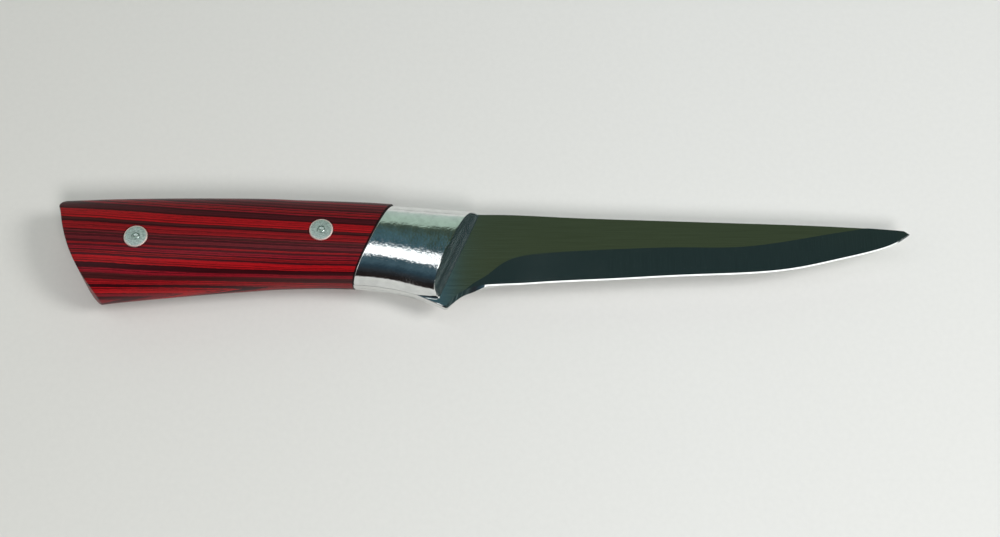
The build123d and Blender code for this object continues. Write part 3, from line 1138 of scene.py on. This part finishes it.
def bolster_steel(steel):
    """Mirror polish with the faint speckle and rubbing of handling."""
    material, n, surface, place = new_material("bolster steel", Metallic=1.0)
    speckle = noise(n, place, 1.4, 3.0, 0.6)
    cloud = noise(n, place, 0.35, 2.0)
    tone = ramp(n, cloud, ((0.35, darker(steel, 0.88)), (0.6, steel)))
    rough = between(n, speckle, 0.03, 0.10) + between(n, cloud, 0.0, 0.05)
    finish_surface(n, surface, tone, rough, speckle + cloud * 2.0, 0.5, 0.05)
    return material


# Where the painted highlight on a head's rim lies
RIM_HIGHLIGHT_BAND = (0.50, 0.32)  # how far inside a head's rim it begins and is full


def rivet_metal(tones, k):
    """Satin nickel silver with fine scratches, and a painted highlight: a paler tone around the
    rim.
    """
    material, n, surface, place = new_material("rivet metal", Metallic=1.0)
    grain = noise(n, stretched(n, place, 1.0, 2.0, 1.0), 2.2, 4.0, 0.7)
    level = stretched(n, place, 1.0, 1.0, 0.0)
    from_middle = n.math("MINIMUM", *(
        n.out("ShaderNodeVectorMath", {0: level, 1: (*spot, 0)}, 1, operation="DISTANCE")
        for spot in (k.rear, k.front)
    ))
    head, pin = k.rivets.head_diameter / 2, k.rivets.pin_diameter / 2
    on_rim_highlight = between(n, from_middle, 0.0, 1.0, head - RIM_HIGHLIGHT_BAND[0], head - RIM_HIGHLIGHT_BAND[1])
    on_pin = between(n, from_middle, 1.0, 0.0, pin - 0.2, pin + 0.1)
    face = ramp(n, grain, ((0.36, darker(tones.metal, 0.52)), (0.6, tones.metal)))
    rough = between(n, grain, 0.36, 0.60) + on_rim_highlight * 0.22 + on_pin * -0.16
    # Painted highlight: the head's rim takes the paler rim colour
    finish_surface(n, surface, mixed(n, on_rim_highlight, face, tones.rim), rough, grain, 0.5, 0.03)
    return material


# Where each veneer of the grip starts, in millimetres across the layers, belly to spine
# The dull veneers lie where the lamp's soft sheen falls on the wood: partly a painted reflection
BELLY_VENEERS = (
    (-24.0, "black"), (-23.0, "crimson"), (-21.8, "dark"), (-20.9, "red"),
    (-19.6, "black"), (-18.8, "crimson"), (-17.8, "dark"), (-16.75, "crimson"),
    (-16.05, "dark"), (-15.8, "scarlet"), (-13.9, "black"), (-12.95, "red"),
    (-11.75, "brown"), (-10.25, "crimson"), (-8.95, "black"), (-7.6, "scarlet"),
    (-5.65, "dark"), (-5.15, "red"), (-4.4, "dark"), (-4.0, "crimson"), (-3.1, "dark"),
    (-2.5, "red"), (-1.95, "dark"), (-1.2, "dull_veneer_and_sheen"), (-0.2, "dark"), (0.35, "dull_veneer_and_sheen"),
    (0.7, "brown"), (1.15, "dull_veneer_and_sheen"), (1.6, "black"), (1.9, "red"),
)
SPINE_VENEERS = (
    (1.9, "red"), (4.05, "black"), (4.6, "brown"), (5.3, "scarlet"), (8.1, "black"),
    (8.8, "dark"), (10.0, "black"), (10.6, "crimson"), (11.1, "dark"), (11.6, "red"),
    (12.2, "dark"), (12.7, "crimson"), (13.3, "black"), (13.8, "dull_veneer_and_sheen"), (14.5, "dark"),
    (15.1, "dull_veneer_and_sheen"), (15.8, "dark"), (16.5, "crimson"), (17.3, "dark"), (18.2, "red"),
    (19.4, "black"), (20.4, "crimson"), (21.6, "dark"),
)
VENEER_SPAN = 24.0  # the rows above lie within this on both sides of the axis
VENEER_START = -80.0  # the veneers drift down from this place on
VENEER_DRIFT, VENEER_SPREAD = 0.0527, 0.0031  # down, and thinner, for each millimetre along
TURN_DEPTH, TURN_DRIFT = 2.2, 0.5  # from this depth below the flank they follow the rounding
FINE_LAYERS, THIN_LAYERS = 2.6, 6.0  # how close the layers inside a veneer lie
# Rim of the painted shade line beside the joint
JOINT_SHADE_LINE = (-0.5, -0.36)  # its rim, in millimetres from the joint


def striped_wood(tones, k):
    """Pressed and dyed veneers, running along the grip and drifting down to the front."""
    material, n, surface, place = new_material("striped wood", IOR=1.5, Specular_IOR_Level=0.14)

    # Distance across the veneers, with slow waves and ragged rims
    x, y, z = n.axes(place)
    beyond = x - VENEER_START
    off_middle = n.math("ABSOLUTE", z - k.middle)
    turned_under = (off_middle - (k.middle - TURN_DEPTH)).at_most(0.0)
    across = y * (beyond * VENEER_SPREAD + 1.0) + beyond * VENEER_DRIFT + turned_under * TURN_DRIFT
    wave = noise(n, stretched(n, place, 0.03, 0.06, 0.06), 1.0, 1.0)
    ragged = noise(n, stretched(n, place, 0.45, 2.4, 2.4), 1.0, 2.0)
    across = across + between(n, wave, -0.45, 0.45) + between(n, ragged, -0.14, 0.14)

    def veneers(rows):
        span = 2 * VENEER_SPAN
        stops = [((start + VENEER_SPAN) / span, getattr(tones, name)) for start, name in rows]
        return ramp(n, (across + VENEER_SPAN) * (1 / span), stops, "CONSTANT")

    spine_side = n.math("GREATER_THAN", across, SPINE_VENEERS[0][0])
    tone = mixed(n, spine_side, veneers(BELLY_VENEERS), veneers(SPINE_VENEERS))

    # Fine layers inside each veneer, long grain and dark pores
    fine = layers(n, across * FINE_LAYERS + x * 0.004, 2.0, 0.6)
    tone = mixed(n, between(n, fine, 0.0, 0.75, 0.50, 0.57), tone, tones.black)
    grain = noise(n, stretched(n, place, 0.10, 3.2, 3.2), 1.0, 4.0, 0.65)
    thin = layers(n, across * THIN_LAYERS + x * 0.02, 1.0, 0.5)
    grey = between(n, grain, 0.55, 1.45) * between(n, thin, 0.70, 1.30, 0.3, 0.7)
    pores = noise(n, stretched(n, place, 0.7, 4.5, 4.5), 1.3, 2.0, 0.5)
    pore = between(n, pores, 0.0, 0.55, 0.62, 0.74)
    tone = mixed(n, pore, shaded(n, tone, grey), tones.black)

    # A near-black line on the wood beside the bolster: painted shade where the wood meets it
    from_joint = x - (y * k.slant + k.joint)
    tone = mixed(n, between(n, from_joint, 0.0, 0.92, *JOINT_SHADE_LINE), tone, tones.joint_shade)
    rough = between(n, grain, 0.33, 0.43) + pore * 0.12
    finish_surface(n, surface, tone, rough, grain + pore * -1.0, 0.15, 0.02)
    return material


# The painted shade on the table fades out over this span
TABLE_SHADE_FADE = (-150.0, 60.0)  # millimetres along X over which its tone changes


def table_paper(stage):
    """Matt pale paper, with a painted shade that makes it greyer behind the butt."""
    material, n, surface, place = new_material("table paper")
    towards_tip = between(n, n.axes(place)[0], 0.0, 1.0, *TABLE_SHADE_FADE)
    # Painted shade: the table's colour darkens towards the butt
    tone = mixed(n, towards_tip, stage.table_far_painted_shade, stage.table)
    fibre = noise(n, place, 0.6, 4.0)
    tone = shaded(n, tone, between(n, fibre, 0.97, 1.03))
    finish_surface(n, surface, tone, between(n, fibre, 0.75, 0.95))
    return material


# Stage


# Light from above by lean from straight up, in degrees: negative is towards the edge.
# Over the butt and over the tip the sky is the same but for the part near the lamp.
SKY_NEAR = (
    (-90, (0.80, 0.79, 0.77)), (-82, (0.80, 0.79, 0.77)), (-79, (0.020, 0.014, 0.012)),
    (-55, (0.018, 0.017, 0.018)), (-42, (0.028, 0.034, 0.040)),
    (-25, (0.028, 0.055, 0.075)), (-13, (0.060, 0.110, 0.140)),
)
SKY_FAR = (
    (43, (0.060, 0.085, 0.060)), (45, (0.39, 0.53, 0.44)), (60, (0.42, 0.55, 0.47)),
    (77, (0.49, 0.59, 0.54)), (84, (0.74, 0.76, 0.73)), (90, (0.80, 0.80, 0.78)),
)
SKY_BUTT = SKY_NEAR + (
    (0, (0.050, 0.095, 0.120)), (24, (0.050, 0.110, 0.145)), (29, (0.060, 0.135, 0.165)),
    (34, (0.060, 0.110, 0.110)), (39, (0.050, 0.085, 0.075)),
) + SKY_FAR
SKY_TIP = SKY_NEAR + (
    (10, (0.020, 0.038, 0.042)), (17, (0.020, 0.038, 0.038)), (22, (0.030, 0.050, 0.034)),
    (27, (0.055, 0.076, 0.040)), (34, (0.040, 0.060, 0.040)),
) + SKY_FAR
# A long lamp overhead, by the same lean
LAMP_BUTT = ((-90, 0), (2, 0), (4, 1), (18, 1), (21, 0), (90, 0))
LAMP_TIP = ((-90, 0), (-8, 0), (-6, 1), (6, 1), (7, 0), (90, 0))
LAMP_STRENGTH = 1.8
# The wall beyond the tip, from the floor up, and its paler patches
WALL_FOOT = ((0.0, (0.75, 0.75, 0.73)), (0.12, (0.70, 0.71, 0.69)))
TIP_WALL = WALL_FOOT + ((0.16, (0.025, 0.045, 0.050)), (0.80, (0.022, 0.040, 0.040)))
TIP_WALL_PALE = WALL_FOOT + ((0.16, (0.16, 0.23, 0.23)), (0.80, (0.08, 0.13, 0.13)))
BUTT_WALL = (0.45, 0.45, 0.44)
# Directions along X between which one part of the sky gives way to the next
BUTT_TO_TIP, ON_BUTT_WALL, ON_TIP_WALL = (-0.034, -0.028), (-0.52, -0.42), (0.45, 0.55)
PATCH_SCALE, PATCH_RIM = 16.0, (0.53, 0.60)
HORIZON = 0.0001

# Name, place and watts of each lamp, its width, and whether the metal mirrors it
LAMPS = (
    ("lamp_tip", (0.85, -0.16, 0.90), 7.4, 0.42, True),
    ("lamp_butt", (-1.0, -0.2, 0.8), 0.8, 0.7, True),
    ("lamp_key", (0.20, -0.76, 0.84), 6.6, 0.32, False),
)
TABLE_REACH = 4.0
AIM = (0.0047, -0.0045, 0.0083)  # the camera looks here
CLIP = (0.01, 50)


def studio_light():
    """A dark ceiling with one long lamp, between pale walls."""
    world = bpy.data.worlds.new("Studio")
    world.use_nodes = True
    world.node_tree.nodes.clear()
    n = Nodes(world.node_tree)
    way = n.out("ShaderNodeTexCoord", output="Generated")
    x, y, z = n.axes(way)
    lean = n.math("ARCTAN2", y, z.at_least(HORIZON)) * (1 / pi) + 0.5

    def by_lean(rows):
        return ramp(n, lean, [((degrees + 90) / 180, tone) for degrees, tone in rows])

    towards_tip = between(n, x, 0.0, 1.0, *BUTT_TO_TIP)
    sky = mixed(n, towards_tip, by_lean(SKY_BUTT), by_lean(SKY_TIP))
    lamps = (by_lean([(a, (v, v, v)) for a, v in rows]) for rows in (LAMP_BUTT, LAMP_TIP))
    lamp = mixed(n, towards_tip, *lamps)
    on_butt_wall = between(n, x, 1.0, 0.0, *ON_BUTT_WALL)
    on_tip_wall = between(n, x, 0.0, 1.0, *ON_TIP_WALL)
    height = between(n, z, 0.0, 1.0)
    patches = between(n, noise(n, way, PATCH_SCALE, 2.0), 0.0, 1.0, *PATCH_RIM)
    wall = mixed(n, patches, ramp(n, height, TIP_WALL), ramp(n, height, TIP_WALL_PALE))
    sky = mixed(n, on_tip_wall, mixed(n, on_butt_wall, sky, BUTT_WALL), wall)
    inside = 1.0 - on_butt_wall.at_least(on_tip_wall)
    values = {0: lamp, "Scale": inside * LAMP_STRENGTH}
    lit = n.out("ShaderNodeVectorMath", values, operation="SCALE")
    light = n.out("ShaderNodeVectorMath", {0: sky, 1: lit}, operation="ADD")
    glow = n.out("ShaderNodeBackground", {"Color": light, "Strength": 1.0})
    n.add("ShaderNodeOutputWorld", {"Surface": glow})
    bpy.context.scene.world = world


def area_lamp(name, place, watts, width, glossy):
    """A soft square lamp that faces the knife, mirrored in the metal or not."""
    data = bpy.data.lights.new(name, "AREA")
    data.energy, data.size = watts, width
    lamp = bpy.data.objects.new(name, data)
    lamp.location, lamp.visible_glossy = place, glossy
    lamp.rotation_euler = (-lamp.location).to_track_quat("-Z", "Y").to_euler()
    bpy.context.scene.collection.objects.link(lamp)


class KNIFE_OT_stage(bpy.types.Operator):
    """Make the table, the lights and the camera"""

    bl_idname = "knife.add_stage"
    bl_label = "Stage"

    def execute(self, context):
        scene, stage = context.scene, context.scene.fillet_knife.stage
        mesh = bpy.data.meshes.new("table")
        sides = ((-1, -1), (1, -1), (1, 1), (-1, 1))
        corners = [(x * TABLE_REACH, y * TABLE_REACH, 0) for x, y in sides]
        mesh.from_pydata(corners, [], [(0, 1, 2, 3)])
        table = add_object("table", mesh)
        mesh.materials.append(table_paper(stage))
        studio_light()
        for lamp in LAMPS:
            area_lamp(*lamp)

        lens = bpy.data.cameras.new("camera")
        lens.lens = stage.lens
        lens.clip_start, lens.clip_end = CLIP
        camera = bpy.data.objects.new("camera", lens)
        back, up = sin(stage.tilt) * stage.distance, cos(stage.tilt) * stage.distance
        camera.location = (AIM[0], AIM[1] - back, AIM[2] + up)
        camera.rotation_euler = (stage.tilt, 0, 0)
        scene.collection.objects.link(camera)
        scene.camera = camera
        scene.view_settings.view_transform = "Standard"
        return {"FINISHED"}


# Add-on


STEPS = (
    (KNIFE_OT_blade, "blade"),
    (KNIFE_OT_bolster, "bolster"),
    (KNIFE_OT_scales, "grip"),
    (KNIFE_OT_rivets, "rivets"),
    (KNIFE_OT_stage, "stage"),
)


class KNIFE_PT_panel(bpy.types.Panel):
    """Lists the pieces of the knife"""

    bl_idname = "KNIFE_PT_panel"
    bl_label = "Fillet Knife"
    bl_space_type = "VIEW_3D"
    bl_region_type = "UI"
    bl_category = "Fillet Knife"

    def draw(self, context):
        for operator, group in STEPS:
            box = self.layout.box()
            box.operator(operator.bl_idname)
            owner = getattr(context.scene.fillet_knife, group)
            for name, rule in owner.bl_rna.properties.items():
                if rule.type in {"FLOAT", "INT"}:
                    box.prop(owner, name)


CLASSES = (
    BladeSettings,
    BolsterSettings,
    GripSettings,
    RivetSettings,
    StageSettings,
    KnifeSettings,
    *(operator for operator, group in STEPS),
    KNIFE_PT_panel,
)


def register():
    for entry in CLASSES:
        bpy.utils.register_class(entry)
    bpy.types.Scene.fillet_knife = PointerProperty(type=KnifeSettings)


def unregister():
    del bpy.types.Scene.fillet_knife
    for entry in reversed(CLASSES):
        bpy.utils.unregister_class(entry)


def main():
    """Makes every piece in order."""
    register()
    bpy.ops.knife.add_blade()
    bpy.ops.knife.add_bolster()
    bpy.ops.knife.add_scales()
    bpy.ops.knife.add_rivets()
    bpy.ops.knife.add_stage()


if __name__ == "__main__":
    main()
